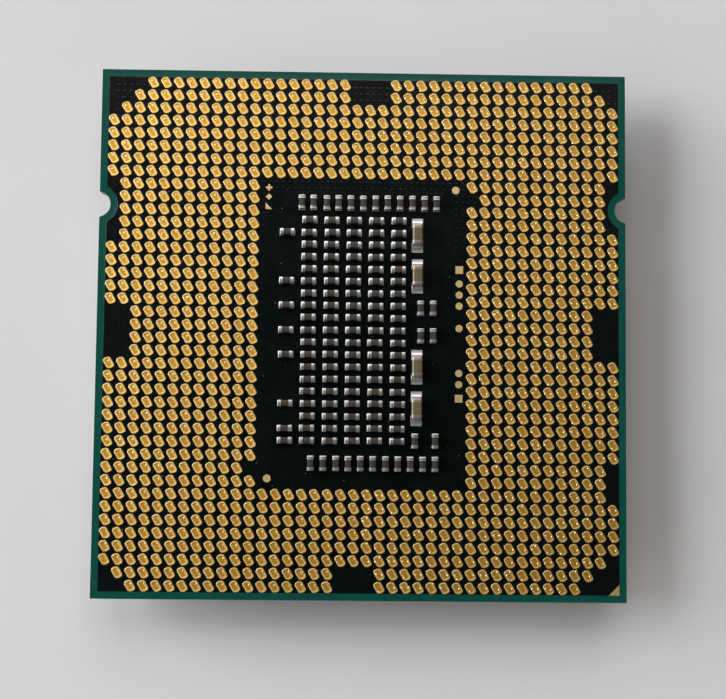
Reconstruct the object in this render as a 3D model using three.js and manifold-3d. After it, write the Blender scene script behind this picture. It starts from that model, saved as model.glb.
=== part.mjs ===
// Desktop computer processor in a 1156-land laminate package, lying lands up on its heat spreader.
// Millimetres. The origin is the middle of the spreader's outer face, and +Z runs towards the lands.
// The pin-one corner is at +X, -Y, and both keying notches are in the +Y half.
import * as THREE from "three";
import { mergeVertices } from "three/addons/utils/BufferGeometryUtils.js";
import Module from "manifold-3d";

const wasm = await Module();
wasm.setup();

// ---------------------------------------------------------------- driving dimensions

// Package outline and its two keying notches
const PACKAGE = 37.5;
const NOTCH_RADIUS = 0.92;
const NOTCH_OUTSET = 0.15; // the notch's centre stands this far outside the edge
const NOTCH_Y = 9.0;

// Height of every level, from the spreader's outer face up
const Z_LEDGE = 1.1; // face that the socket's load plate presses
const Z_LID_CEILING = 2.01; // cavity ceiling above the die
const Z_LID_RIM = 3.05; // lid's rim, where the adhesive starts
const Z_DIE_FACE = 3.18; // package face on the die side
const Z_LAND_FACE = 4.35; // package face on the land side

// Laminate: core, a build-up on each side, solder mask outside both
const MASK_THICKNESS = 0.03;
const BUILDUP_THICKNESS = 0.16;

// Lands on a square grid, with the rows numbered from +Y and the columns from -X
const LAND_PITCH = 0.9144;
const LAND_GRID = 40;
const LAND_SPAN = 0.85;
const LAND_HEIGHT = 0.03;
// Sites without a land, as [first row, last row, first column, last column]
const OPEN_SITES = [
  [9, 32, 13, 28], // component window
  [10, 10, 28, 29],
  [31, 31, 12, 13],
  [9, 13, 1, 1], // beside the two notches
  [9, 12, 40, 40],
  [19, 22, 1, 2], // keys in the four edges
  [19, 22, 39, 40],
  [1, 2, 20, 22],
  [39, 40, 19, 21],
  [31, 33, 40, 40],
  [1, 1, 1, 3], // corner at -X +Y
  [1, 2, 1, 2],
  [1, 3, 1, 1],
  [1, 1, 39, 40], // corner at +X +Y
  [1, 2, 40, 40],
  [38, 40, 40, 40], // pin-one corner
  [39, 40, 39, 40],
  [40, 40, 38, 40],
  [39, 40, 1, 1], // corner at -X -Y
  [40, 40, 1, 2],
];

// Lid: plateau, flange and the two load ledges
const PLATEAU = 28.6;
const PLATEAU_RADIUS = 1.6;
const PLATEAU_CHAMFER = 0.3;
const FLANGE = 31.0;
const FLANGE_RADIUS = 1.3;
const LEDGE_SPAN = 34.0;
const LEDGE_LENGTH = 22.4;
const LEDGE_RADIUS = 1.0;
const CAVITY = 25.0;
const CAVITY_RADIUS = 3.0;

// Adhesive bead between the lid's rim and the package
const BEAD_SETBACK = 0.5;
const VENT_WIDTH = 1.6;

// Silicon die with its solder on both faces
const DIE_WIDTH = 13.8;
const DIE_LENGTH = 21.5;
const DIE_THICKNESS = 0.8;
const THERMAL_SOLDER_THICKNESS = 0.3;
const SOLDER_SETBACK = 0.2;
const BUMP_HEIGHT = Z_DIE_FACE - Z_LID_CEILING - THERMAL_SOLDER_THICKNESS - DIE_THICKNESS;
const BUMP_SETBACK = 0.35;
const UNDERFILL_REACH = 1.4; // how far the fillet runs out over the package
const UNDERFILL_CREST = 0.25; // how wide the fillet is where it stops on the die's side
const UNDERFILL_HEIGHT = 0.5;
const UNDERFILL_GAP = 0.02;

// Multilayer ceramic capacitors: body length, width, height, terminal band and its step
const SMALL_CAPACITOR = { length: 1.0, width: 0.5, height: 0.5, band: 0.27, step: 0.02 };
const LARGE_CAPACITOR = { length: 1.6, width: 0.8, height: 0.85, band: 0.36, step: 0.03 };
const RAIL_WIDTH = 0.17; // solder strip that joins a run of capacitors at each end
const RAIL_HEIGHT = 0.03;
const RAIL_OFFSET = 0.365; // from the middle of a capacitor to the middle of the strip

// Capacitor places
const COLUMN_FIRST_X = -3.81;
const COLUMN_PITCH = 1.5875;
const COLUMN_COUNT = 5;
const ARRAY_FIRST_Y = 7.99;
const ARRAY_PITCH = 0.8675;
const ARRAY_COUNT = 19;
const LEFT_X = -5.38;
const LEFT_ARRAY_ROWS = [2, 6, 8, 10, 12, 16, 18, 19];
const TOP_ROW = { y: 9.26, firstX: -4.367, pitch: 0.872, count: 12 };
const BOTTOM_ROW = { y: -9.2, firstX: -3.52, pitch: 0.8744, count: 11 };
const LARGE_X = 3.89;
const LARGE_Y = [7.0, 4.08, -2.38, -5.29];
const RIGHT_PLACES = [
  [4.15, 1.79],
  [5.03, 1.79],
  [4.15, -0.14],
  [5.03, -0.14],
  [3.785, -7.58],
  [5.224, -7.58],
];

// Gold marks etched in the top copper
const MARK_HEIGHT = 0.02;
const TEST_X = 6.876;
const TEST_SQUARE = 0.545;
const TEST_SQUARE_Y = [4.588, -4.564];
const TEST_ROUND = 0.515;
const TEST_ROUND_FIRST_Y = 3.588;
const TEST_ROUND_PITCH = 0.7955;
const TEST_ROUND_STEPS = [0, 1, 2, 4, 8, 9];
const FIDUCIAL = 0.55;
const FIDUCIAL_PLACES = [
  [6.588, 10.3],
  [-6.58, -10.3],
];
const GLYPH_X = -6.73;
const GLYPH_Y = 9.68;
const GLYPH_PITCH = 0.66;
const GLYPH_SIZE = 0.46;
const GLYPH_STROKE = 0.14;
const TRIANGLE_CORNER = 18.24;
const TRIANGLE_LEG = 0.75;

const ARC_STEPS = 6; // curve steps, doubled on every arc by the shape class
const BEVEL_STEPS = 2;
const CUT_OVERRUN = 1; // how far a cutting solid runs past what it cuts
const ROUND_SIDES = 20;

// ---------------------------------------------------------------- materials

function material(color, roughness, metalness) {
  return new THREE.MeshStandardMaterial({ color, roughness, metalness });
}

const nickel = material(0xb9b7b0, 0.35, 1.0);
const gold = material(0xc79a4b, 0.3, 1.0);
const solder = material(0xb8bcc0, 0.35, 1.0);
const greenLaminate = material(0x1f5b48, 0.5, 0.0);
const coreGlassEpoxy = material(0x6f7f4a, 0.7, 0.0);
const darkMask = material(0x11181a, 0.4, 0.0);
const silicon = material(0x4a4d52, 0.2, 0.3);
const epoxy = material(0x2a2a2c, 0.5, 0.0);
const silicone = material(0x1c1c1e, 0.6, 0.0);
const ceramicGrey = material(0x4a4136, 0.5, 0.0);
const ceramicTan = material(0x9a8a6c, 0.5, 0.0);

// ---------------------------------------------------------------- solids

// A closed three.js geometry as a solid that can be joined and cut.
function toSolid(geometry) {
  const bare = geometry.clone();
  bare.deleteAttribute("normal");
  bare.deleteAttribute("uv");
  const merged = mergeVertices(bare);
  const vertProperties = merged.attributes.position.array;
  const triVerts = Uint32Array.from(merged.index.array);
  return new wasm.Manifold(new wasm.Mesh({ numProp: 3, vertProperties, triVerts }));
}

// A solid back as a three.js geometry.
function toGeometry(solid) {
  const mesh = solid.getMesh();
  const geometry = new THREE.BufferGeometry();
  geometry.setAttribute("position", new THREE.BufferAttribute(mesh.vertProperties, 3));
  geometry.setIndex(new THREE.BufferAttribute(mesh.triVerts, 1));
  geometry.computeVertexNormals();
  return geometry;
}

// A box between two heights, centred on x, y.
function block(width, depth, low, high, x = 0, y = 0) {
  return new THREE.BoxGeometry(width, depth, high - low).translate(x, y, (low + high) / 2);
}

// A flat outline carried from one height to another.
function slab(shape, low, high) {
  const options = { depth: high - low, bevelEnabled: false, curveSegments: ARC_STEPS };
  return new THREE.ExtrudeGeometry(shape, options).translate(0, 0, low);
}

// A centred rectangle with four corner arcs.
function roundedRectangle(width, depth, radius) {
  const x = width / 2 - radius;
  const y = depth / 2 - radius;
  const shape = new THREE.Shape();
  shape.moveTo(-x, -y - radius);
  shape.absarc(x, -y, radius, -Math.PI / 2, 0, false);
  shape.absarc(x, y, radius, 0, Math.PI / 2, false);
  shape.absarc(-x, y, radius, Math.PI / 2, Math.PI, false);
  shape.absarc(-x, -y, radius, Math.PI, Math.PI * 1.5, false);
  return shape;
}

function polygon(points) {
  return new THREE.Shape(points.map(([x, y]) => new THREE.Vector2(x, y)));
}

// The square package with one round notch in each side edge.
function packageOutline() {
  const half = PACKAGE / 2;
  const mouth = Math.sqrt(NOTCH_RADIUS ** 2 - NOTCH_OUTSET ** 2);
  const sweep = Math.asin(mouth / NOTCH_RADIUS);
  const centre = half + NOTCH_OUTSET;
  const shape = new THREE.Shape();
  shape.moveTo(-half, -half);
  shape.lineTo(half, -half);
  shape.lineTo(half, NOTCH_Y - mouth);
  shape.absarc(centre, NOTCH_Y, NOTCH_RADIUS, Math.PI + sweep, Math.PI - sweep, true);
  shape.lineTo(half, half);
  shape.lineTo(-half, half);
  shape.lineTo(-half, NOTCH_Y + mouth);
  shape.absarc(-centre, NOTCH_Y, NOTCH_RADIUS, sweep, -sweep, true);
  return shape;
}

// ---------------------------------------------------------------- scene graph

const processor = new THREE.Group();

function addGroup() {
  const group = new THREE.Group();
  processor.add(group);
  return group;
}

function addNode(group, name, geometry, finish) {
  const mesh = new THREE.Mesh(geometry, finish);
  mesh.name = name;
  group.add(mesh);
  return mesh;
}

// ---------------------------------------------------------------- laminate

function addLaminate() {
  const group = addGroup();
  const outline = packageOutline();
  const dieMask = Z_DIE_FACE + MASK_THICKNESS;
  const coreLow = dieMask + BUILDUP_THICKNESS;
  const landMask = Z_LAND_FACE - MASK_THICKNESS;
  const coreHigh = landMask - BUILDUP_THICKNESS;
  const layers = [
    ["solder_mask_die_side", Z_DIE_FACE, dieMask, darkMask],
    ["buildup_die_side", dieMask, coreLow, greenLaminate],
    ["core_laminate", coreLow, coreHigh, coreGlassEpoxy],
    ["buildup_land_side", coreHigh, landMask, greenLaminate],
    ["solder_mask_land_side", landMask, Z_LAND_FACE, darkMask],
  ];
  for (const [name, low, high, finish] of layers) {
    addNode(group, name, slab(outline, low, high), finish);
  }
}

// ---------------------------------------------------------------- lands

// The land field is one thin plate, cut away wherever sites are open. The cuts on the border run
// past the plate, and every cut is wider than its sites by the gap between two lands.
function landPlate() {
  const gap = LAND_PITCH - LAND_SPAN;
  const side = LAND_GRID * LAND_PITCH - gap;
  const low = Z_LAND_FACE;
  const high = Z_LAND_FACE + LAND_HEIGHT;
  const edge = (line) => {
    if (line === 0) return -side;
    if (line === LAND_GRID) return side;
    return (line - LAND_GRID / 2) * LAND_PITCH;
  };
  let plate = toSolid(block(side, side, low, high));
  for (const [firstRow, lastRow, firstColumn, lastColumn] of OPEN_SITES) {
    const west = edge(firstColumn - 1) - gap / 2;
    const east = edge(lastColumn) + gap / 2;
    const north = -edge(firstRow - 1) + gap / 2;
    const south = -edge(lastRow) - gap / 2;
    const x = (west + east) / 2;
    const y = (north + south) / 2;
    const cut = block(east - west, north - south, low - CUT_OVERRUN, high + CUT_OVERRUN, x, y);
    plate = plate.subtract(toSolid(cut));
  }
  return toGeometry(plate);
}

// ---------------------------------------------------------------- lid and die

function heatSpreader() {
  const plateauOptions = {
    depth: Z_LEDGE,
    bevelThickness: PLATEAU_CHAMFER,
    bevelSize: PLATEAU_CHAMFER,
    bevelOffset: -PLATEAU_CHAMFER,
    bevelSegments: BEVEL_STEPS,
    curveSegments: ARC_STEPS,
  };
  const plateauOutline = roundedRectangle(PLATEAU, PLATEAU, PLATEAU_RADIUS);
  const plateau = new THREE.ExtrudeGeometry(plateauOutline, plateauOptions);
  plateau.translate(0, 0, PLATEAU_CHAMFER);
  const flange = slab(roundedRectangle(FLANGE, FLANGE, FLANGE_RADIUS), Z_LEDGE, Z_LID_RIM);
  const ledgeOutline = roundedRectangle(LEDGE_SPAN, LEDGE_LENGTH, LEDGE_RADIUS);
  const ledges = slab(ledgeOutline, Z_LEDGE, Z_LID_RIM);
  const cavityOutline = roundedRectangle(CAVITY, CAVITY, CAVITY_RADIUS);
  const cavity = slab(cavityOutline, Z_LID_CEILING, Z_LID_RIM + CUT_OVERRUN);
  const body = toSolid(plateau).add(toSolid(flange)).add(toSolid(ledges));
  return toGeometry(body.subtract(toSolid(cavity)));
}

// A closed bead set back from the lid's edge, with a gap left as a vent at +Y.
function adhesiveBead() {
  const inward = 2 * BEAD_SETBACK;
  const outer = roundedRectangle(FLANGE - inward, FLANGE - inward, FLANGE_RADIUS);
  const sides = roundedRectangle(LEDGE_SPAN - inward, LEDGE_LENGTH - inward, LEDGE_RADIUS);
  const inner = roundedRectangle(CAVITY + inward, CAVITY + inward, CAVITY_RADIUS + BEAD_SETBACK);
  const low = Z_LID_RIM - CUT_OVERRUN;
  const high = Z_DIE_FACE + CUT_OVERRUN;
  const vent = block(VENT_WIDTH, FLANGE, low, high, 0, FLANGE / 2);
  const ring = toSolid(slab(outer, Z_LID_RIM, Z_DIE_FACE))
    .add(toSolid(slab(sides, Z_LID_RIM, Z_DIE_FACE)))
    .subtract(toSolid(slab(inner, low, high)))
    .subtract(toSolid(vent));
  return toGeometry(ring);
}

// The fillet of underfill around the die: a frustum that is widest on the package.
function underfill() {
  const low = Z_DIE_FACE - BUMP_HEIGHT - UNDERFILL_HEIGHT;
  const height = Z_DIE_FACE - low;
  const crest = 2 * UNDERFILL_CREST;
  const frustum = new THREE.BoxGeometry(1, 1, height);
  const place = frustum.attributes.position;
  for (let i = 0; i < place.count; i += 1) {
    const spread = place.getZ(i) > 0 ? 2 * UNDERFILL_REACH : crest;
    const x = place.getX(i) * (DIE_WIDTH + spread);
    const y = place.getY(i) * (DIE_LENGTH + spread);
    place.setXYZ(i, x, y, place.getZ(i));
  }
  frustum.translate(0, 0, (low + Z_DIE_FACE) / 2);
  const gap = 2 * UNDERFILL_GAP;
  const bottom = low - CUT_OVERRUN;
  const top = Z_DIE_FACE + CUT_OVERRUN;
  const room = block(DIE_WIDTH + gap, DIE_LENGTH + gap, bottom, top);
  return toGeometry(toSolid(frustum).subtract(toSolid(room)));
}

function addLid() {
  const group = addGroup();
  const dieLow = Z_LID_CEILING + THERMAL_SOLDER_THICKNESS;
  const dieHigh = dieLow + DIE_THICKNESS;
  const solderWidth = DIE_WIDTH - 2 * SOLDER_SETBACK;
  const solderLength = DIE_LENGTH - 2 * SOLDER_SETBACK;
  const bumpWidth = DIE_WIDTH - 2 * BUMP_SETBACK;
  const bumpLength = DIE_LENGTH - 2 * BUMP_SETBACK;
  addNode(group, "heat_spreader", heatSpreader(), nickel);
  addNode(group, "spreader_adhesive", adhesiveBead(), silicone);
  addNode(group, "thermal_solder", block(solderWidth, solderLength, Z_LID_CEILING, dieLow), solder);
  addNode(group, "silicon_die", block(DIE_WIDTH, DIE_LENGTH, dieLow, dieHigh), silicon);
  addNode(group, "solder_bumps", block(bumpWidth, bumpLength, dieHigh, Z_DIE_FACE), solder);
  addNode(group, "underfill", underfill(), epoxy);
}

// ---------------------------------------------------------------- capacitors

// One capacitor standing on z = 0: a ceramic body with a slightly larger metal band at each end.
// "along" is the axis of its length.
function capacitor({ length, width, height, band, step }, along) {
  const place = (long, wide) => (along === "x" ? [long, wide] : [wide, long]);
  const offset = (length - band) / 2;
  let solid = toSolid(block(...place(length - band, width - 2 * step), step, height - step));
  for (const end of [-offset, offset]) {
    solid = solid.add(toSolid(block(...place(band, width), 0, height, ...place(end, 0))));
  }
  return toGeometry(solid);
}

function addCapacitor(group, name, kind, along, x, y, finish) {
  addNode(group, name, capacitor(kind, along), finish).position.set(x, y, Z_LAND_FACE);
}

// A run of small capacitors side by side, as plain bodies joined by a solder strip at each end.
// "across" is the direction of the run, and the capacitors lie square to it.
function capacitorRun(across, first, pitch, count) {
  const { length, width, height } = SMALL_CAPACITOR;
  const place = (run, side) => (across === "x" ? [run, side] : [side, run]);
  const last = first + pitch * (count - 1);
  const solids = [];
  for (let i = 0; i < count; i += 1) {
    const centre = place(first + i * pitch, 0);
    solids.push(toSolid(block(...place(width, length), 0, height, ...centre)));
  }
  for (const side of [-RAIL_OFFSET, RAIL_OFFSET]) {
    const centre = place((first + last) / 2, side);
    const size = place(Math.abs(last - first), RAIL_WIDTH);
    solids.push(toSolid(block(...size, 0, RAIL_HEIGHT, ...centre)));
  }
  return toGeometry(solids.reduce((joined, next) => joined.add(next)));
}

function addCapacitors() {
  const group = addGroup();
  for (let i = 0; i < COLUMN_COUNT; i += 1) {
    const run = capacitorRun("y", ARRAY_FIRST_Y, -ARRAY_PITCH, ARRAY_COUNT);
    const column = addNode(group, `capacitor_column_${i + 1}`, run, ceramicGrey);
    column.position.set(COLUMN_FIRST_X + i * COLUMN_PITCH, 0, Z_LAND_FACE);
  }
  for (const [name, row] of [["top", TOP_ROW], ["bottom", BOTTOM_ROW]]) {
    const run = capacitorRun("x", row.firstX, row.pitch, row.count);
    addNode(group, `capacitor_row_${name}`, run, ceramicGrey).position.set(0, row.y, Z_LAND_FACE);
  }
  LEFT_ARRAY_ROWS.forEach((row, i) => {
    const y = ARRAY_FIRST_Y - (row - 1) * ARRAY_PITCH;
    addCapacitor(group, `capacitor_left_${i + 1}`, SMALL_CAPACITOR, "x", LEFT_X, y, ceramicGrey);
  });
  RIGHT_PLACES.forEach(([x, y], i) => {
    addCapacitor(group, `capacitor_right_${i + 1}`, SMALL_CAPACITOR, "y", x, y, ceramicGrey);
  });
  LARGE_Y.forEach((y, i) => {
    addCapacitor(group, `capacitor_large_${i + 1}`, LARGE_CAPACITOR, "y", LARGE_X, y, ceramicTan);
  });
}

// ---------------------------------------------------------------- gold marks

// A thin gold figure on the land side, placed by its own position.
function addMark(group, name, geometry, x, y) {
  addNode(group, name, geometry, gold).position.set(x, y, Z_LAND_FACE);
}

function disc(diameter) {
  const round = new THREE.CylinderGeometry(diameter / 2, diameter / 2, MARK_HEIGHT, ROUND_SIDES);
  return round.rotateX(Math.PI / 2).translate(0, 0, MARK_HEIGHT / 2);
}

function cross(size, stroke) {
  const a = size / 2;
  const b = stroke / 2;
  const quarter = [[a, -b], [a, b], [b, b]];
  const turned = [0, 1, 2, 3].flatMap((turn) => {
    const angle = (turn * Math.PI) / 2;
    return quarter.map(([x, y]) => [
      x * Math.cos(angle) - y * Math.sin(angle),
      x * Math.sin(angle) + y * Math.cos(angle),
    ]);
  });
  return polygon(turned);
}

// The right-angled triangle of the pin-one corner, between two heights.
function cornerTriangle(low, high) {
  const far = TRIANGLE_CORNER - TRIANGLE_LEG;
  const corner = [TRIANGLE_CORNER, -TRIANGLE_CORNER];
  const points = [corner, [TRIANGLE_CORNER, -far], [far, -TRIANGLE_CORNER]];
  return slab(polygon(points), low, high);
}

function addMarks() {
  const group = addGroup();
  TEST_SQUARE_Y.forEach((y, i) => {
    const square = block(TEST_SQUARE, TEST_SQUARE, 0, MARK_HEIGHT);
    addMark(group, `test_pad_square_${i + 1}`, square, TEST_X, y);
  });
  TEST_ROUND_STEPS.forEach((step, i) => {
    const y = TEST_ROUND_FIRST_Y - step * TEST_ROUND_PITCH;
    addMark(group, `test_pad_round_${i + 1}`, disc(TEST_ROUND), TEST_X, y);
  });
  FIDUCIAL_PLACES.forEach(([x, y], i) => {
    addMark(group, `fiducial_${i + 1}`, disc(FIDUCIAL), x, y);
  });
  const half = GLYPH_SIZE / 2;
  const diamond = polygon([[half, 0], [0, half], [-half, 0], [0, -half]]);
  const wedge = polygon([[-half, -half], [half, -half], [-half, half]]);
  const glyphs = [
    ["etched_cross", slab(cross(GLYPH_SIZE, GLYPH_STROKE), 0, MARK_HEIGHT)],
    ["etched_diamond", slab(diamond, 0, MARK_HEIGHT)],
    ["etched_wedge", slab(wedge, 0, MARK_HEIGHT)],
  ];
  glyphs.forEach(([name, geometry], i) => {
    addMark(group, name, geometry, GLYPH_X, GLYPH_Y + (1 - i) * GLYPH_PITCH);
  });
  const landTriangle = cornerTriangle(Z_LAND_FACE, Z_LAND_FACE + MARK_HEIGHT);
  const dieTriangle = cornerTriangle(Z_DIE_FACE - MARK_HEIGHT, Z_DIE_FACE);
  addNode(group, "pin_one_mark_land_side", landTriangle, gold);
  addNode(group, "pin_one_mark_die_side", dieTriangle, gold);
}

// ---------------------------------------------------------------- assembly

addLaminate();
addLid();
addNode(addGroup(), "contact_lands", landPlate(), gold);
addCapacitors();
addMarks();

export default processor;
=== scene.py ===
# %% [markdown]
# # A desktop processor, lands up
#
# A processor of this kind is a square laminate board with a die bonded under a metal lid on one
# side and more than a thousand gold lands on the other. Here it lies on its lid, so the lands and
# the window of small capacitors in their middle face the camera.
#
# Everything new in this file is a surface worked out with numpy: an outline is turned into rings,
# the rings are stacked into a grid of points, and the grid goes into a mesh in one call. The
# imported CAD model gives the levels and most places, so the first step loads it.

# %% Load the fixed frame
import math

import bpy
import numpy as np
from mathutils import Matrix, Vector


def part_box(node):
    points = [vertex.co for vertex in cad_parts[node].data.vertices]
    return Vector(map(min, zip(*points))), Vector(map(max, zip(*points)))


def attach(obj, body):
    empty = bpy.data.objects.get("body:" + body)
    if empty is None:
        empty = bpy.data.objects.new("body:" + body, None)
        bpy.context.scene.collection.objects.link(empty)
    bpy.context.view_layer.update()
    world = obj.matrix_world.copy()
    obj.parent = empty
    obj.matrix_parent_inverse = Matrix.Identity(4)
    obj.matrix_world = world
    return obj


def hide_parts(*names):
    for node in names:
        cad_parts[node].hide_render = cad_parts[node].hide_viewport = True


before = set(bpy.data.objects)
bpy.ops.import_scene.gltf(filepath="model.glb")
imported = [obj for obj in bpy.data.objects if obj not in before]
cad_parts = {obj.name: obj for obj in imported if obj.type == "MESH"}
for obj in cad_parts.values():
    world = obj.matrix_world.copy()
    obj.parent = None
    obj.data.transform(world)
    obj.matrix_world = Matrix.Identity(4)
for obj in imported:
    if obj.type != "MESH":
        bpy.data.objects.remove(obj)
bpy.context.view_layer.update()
MM = 0.001

# %% [markdown]
# ## Levels and places
#
# The board is a stack of layers, and each layer's height is read from its CAD node. All the
# arithmetic below is in millimetres, which keeps the numbers readable, and the mesh helper turns
# them into Blender's metres. What is added on top of the board starts a micrometre inside it.


# %% Read heights and centres from the CAD nodes
def span(node_name):
    """Lowest and highest corner of a CAD node in millimetres, as two arrays."""
    return tuple(np.array(corner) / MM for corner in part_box(node_name))


def rests_between(node_name):
    """Bottom and top height of a CAD node, in millimetres."""
    low, high = span(node_name)
    return low[2], high[2]


LAND_FACE = rests_between("solder_mask_land_side")[1]
LAND_TOP = rests_between("contact_lands")[1]
PACKAGE_HALF = span("core_laminate")[1][0]
SUNK = 0.001
print("land face", round(LAND_FACE, 3), "land top", round(LAND_TOP, 3), "half side", round(PACKAGE_HALF, 3))

# %% [markdown]
# ## From arrays to a mesh
#
# Blender can take a whole mesh as flat arrays, which is far quicker than adding faces one by one.
# `foreach_set` copies the points, the corners of every face, and where each face starts. Rows of
# any length are welcome, so quads and the many-sided caps go in together.


# %% Mesh helpers
def mesh_object(name, points, faces, finishes, smooth_under=35.0, attributes=None):
    """An object from points in mm and a list of face arrays; edges flatter than the angle are smooth."""
    corners = np.concatenate([f.ravel() for f in faces]).astype(np.int32)
    sizes = np.concatenate([np.full(len(f), f.shape[1]) for f in faces])
    starts = np.concatenate(([0], np.cumsum(sizes)[:-1])).astype(np.int32)
    mesh = bpy.data.meshes.new(name)
    mesh.vertices.add(len(points))
    mesh.vertices.foreach_set("co", (np.asarray(points) * MM).astype(np.float32).ravel())
    mesh.loops.add(len(corners))
    mesh.loops.foreach_set("vertex_index", corners)
    mesh.polygons.add(len(sizes))
    mesh.polygons.foreach_set("loop_start", starts)
    mesh.update(calc_edges=True)
    mesh.shade_smooth()
    mesh.set_sharp_from_angle(angle=math.radians(smooth_under))
    for key, values in (attributes or {}).items():
        layer = mesh.attributes.new(key, "FLOAT", "POINT")
        layer.data.foreach_set("value", np.asarray(values, np.float32).ravel())
    for finish in finishes:
        mesh.materials.append(finish)
    made = bpy.data.objects.new(name, mesh)
    bpy.context.scene.collection.objects.link(made)
    return made


def ring_faces(rings, around):
    """Quads between neighbouring rings of points, numbered ring by ring, facing outwards when the
    rings run anticlockwise and climb."""
    ring = np.arange(rings - 1)[:, None] * around
    step = np.arange(around)[None, :]
    a, b = ring + step, ring + (step + 1) % around
    return np.stack([a, b, b + around, a + around], axis=-1).reshape(-1, 4)


def caps(rings, around):
    """The flat face that closes the first ring, turned over, and the one that closes the last."""
    first = np.arange(around)[::-1]
    last = np.arange(around) + (rings - 1) * around
    return np.stack([first, last])


def stacked(rings):
    """Points and faces of a closed solid from a list of equal rings of points."""
    count, around = len(rings), len(rings[0])
    return np.concatenate(rings), [ring_faces(count, around), caps(count, around)]


def stamp(template, places):
    """Copies of a template of points and faces, one at every place.
    The points gain a block per copy, and the face numbers an offset."""
    points, faces = template
    copies = (points[None, :, :] + places[:, None, :]).reshape(-1, 3)
    offset = np.arange(len(places))[:, None, None] * len(points)
    return copies, [(f[None] + offset).reshape(-1, f.shape[1]) for f in faces]


def lifted(flat, height):
    """A flat ring of x, y points at one height, as x, y, z points."""
    return np.column_stack([flat, np.full(len(flat), height)])


def ride_as(piece, slot, *nodes):
    """Fastens a finished piece to the one body and hides the CAD nodes it replaces; its material slot is
    not used.
    """
    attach(piece, "root")
    if nodes:
        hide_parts(*nodes)
    print(f"{piece.name}: {len(piece.data.vertices)} points, {len(piece.data.polygons)} faces")
    return piece


# %% [markdown]
# ## Outlines with round corners
#
# Almost every part here is a flat shape with rounded corners and softened edges. If each outline
# point also knows its outward normal, then the same outline set in by any distance is just the
# points minus that distance times the normals, and a bevel is a few such rings at rising heights.


# %% Outline tools
def filleted(corners, radius, steps):
    """Points and outward normals of a convex polygon with arcs for corners.
    At a corner the normal turns evenly from one side's to the next one's, and a point is the arc's
    centre plus the radius times that normal."""
    corners = np.asarray(corners, float)
    ahead = np.roll(corners, -1, axis=0) - corners
    ahead /= np.linalg.norm(ahead, axis=1, keepdims=True)
    behind = np.roll(ahead, 1, axis=0)
    before = np.column_stack([behind[:, 1], -behind[:, 0]])
    after = np.column_stack([ahead[:, 1], -ahead[:, 0]])
    cosine = (before * after).sum(1)
    turn = np.arctan2(before[:, 0] * after[:, 1] - before[:, 1] * after[:, 0], cosine)
    centres = corners - radius * (before + after) / (1 + cosine)[:, None]
    start = np.arctan2(before[:, 1], before[:, 0])
    angle = start[:, None] + turn[:, None] * np.linspace(0, 1, steps)
    normals = np.stack([np.cos(angle), np.sin(angle)], axis=-1)
    points = centres[:, None] + radius * normals
    return points.reshape(-1, 2), normals.reshape(-1, 2)


def rectangle(width, depth, radius, steps):
    """Outline and normals of a centred rectangle with round corners."""
    x, y = width / 2, depth / 2
    return filleted([(-x, -y), (x, -y), (x, y), (-x, y)], radius, steps)


def terrace(outline, profile):
    """Rings of one outline, each set in by its own distance and put at its own height."""
    points, normals = outline
    return [lifted(points - inset * normals, height) for inset, height in profile]


# %% [markdown]
# ## Node groups that several materials share
#
# A surface looks real when nothing on it is perfectly even. Four effects come back in almost every
# material here, so each is a node group: a cloudy grain that moves between two values, tiny dust
# specks, fine scratches that run one way, and a bump from fine grain. They read Object
# coordinates, which are the piece's own, so a pattern stays in place whatever the camera does.


# %% Node helpers
def new_group(name, inputs, outputs):
    """An empty shader node group with named sockets; inputs carry their default values."""
    group = bpy.data.node_groups.new(name, "ShaderNodeTree")
    for label, kind, default in inputs:
        group.interface.new_socket(label, in_out="INPUT", socket_type=kind).default_value = default
    for label, kind in outputs:
        group.interface.new_socket(label, in_out="OUTPUT", socket_type=kind)
    return group, group.nodes.new("NodeGroupInput"), group.nodes.new("NodeGroupOutput")


def node(tree, kind, links=None, **settings):
    """A node with its settings made and its inputs linked or set by socket name or number."""
    made = tree.nodes.new(kind)
    for key, value in settings.items():
        setattr(made, key, value)
    for socket, source in (links or {}).items():
        if isinstance(source, bpy.types.NodeSocket):
            tree.links.new(source, made.inputs[socket])
        else:
            made.inputs[socket].default_value = source
    return made


def own_place(tree):
    """The point being shaded, in the piece's own coordinates."""
    return node(tree, "ShaderNodeTexCoord").outputs["Object"]


def combine(tree, operation, first, second):
    """The result of one Math node; each value is a socket or a number."""
    return node(tree, "ShaderNodeMath", {0: first, 1: second}, operation=operation).outputs[0]


def remap(tree, value, low, high, to_low, to_high):
    """A value moved from the range low to high into another one, and held within it."""
    ends = {"From Min": low, "From Max": high, "To Min": to_low, "To Max": to_high}
    return node(tree, "ShaderNodeMapRange", {"Value": value, **ends}).outputs["Result"]


FLOAT, VECTOR = "NodeSocketFloat", "NodeSocketVector"


# %% Group: cloudy grain between two values
def make_grain_group():
    """Noise at a scale per metre, spread over low to high; outputs the value."""
    inputs = [("Scale", FLOAT, 2000.0), ("Low", FLOAT, 0.0), ("High", FLOAT, 1.0)]
    tree, given, out = new_group("cloudy_grain", inputs, [("Value", FLOAT)])
    noise = node(tree, "ShaderNodeTexNoise", {
        "Vector": own_place(tree), "Scale": given.outputs["Scale"], "Detail": 4.0, "Roughness": 0.6})
    spread = remap(tree, noise.outputs["Fac"], 0.3, 0.7, given.outputs["Low"], given.outputs["High"])
    tree.links.new(spread, out.inputs["Value"])
    return tree


grain_group = make_grain_group()


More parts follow.
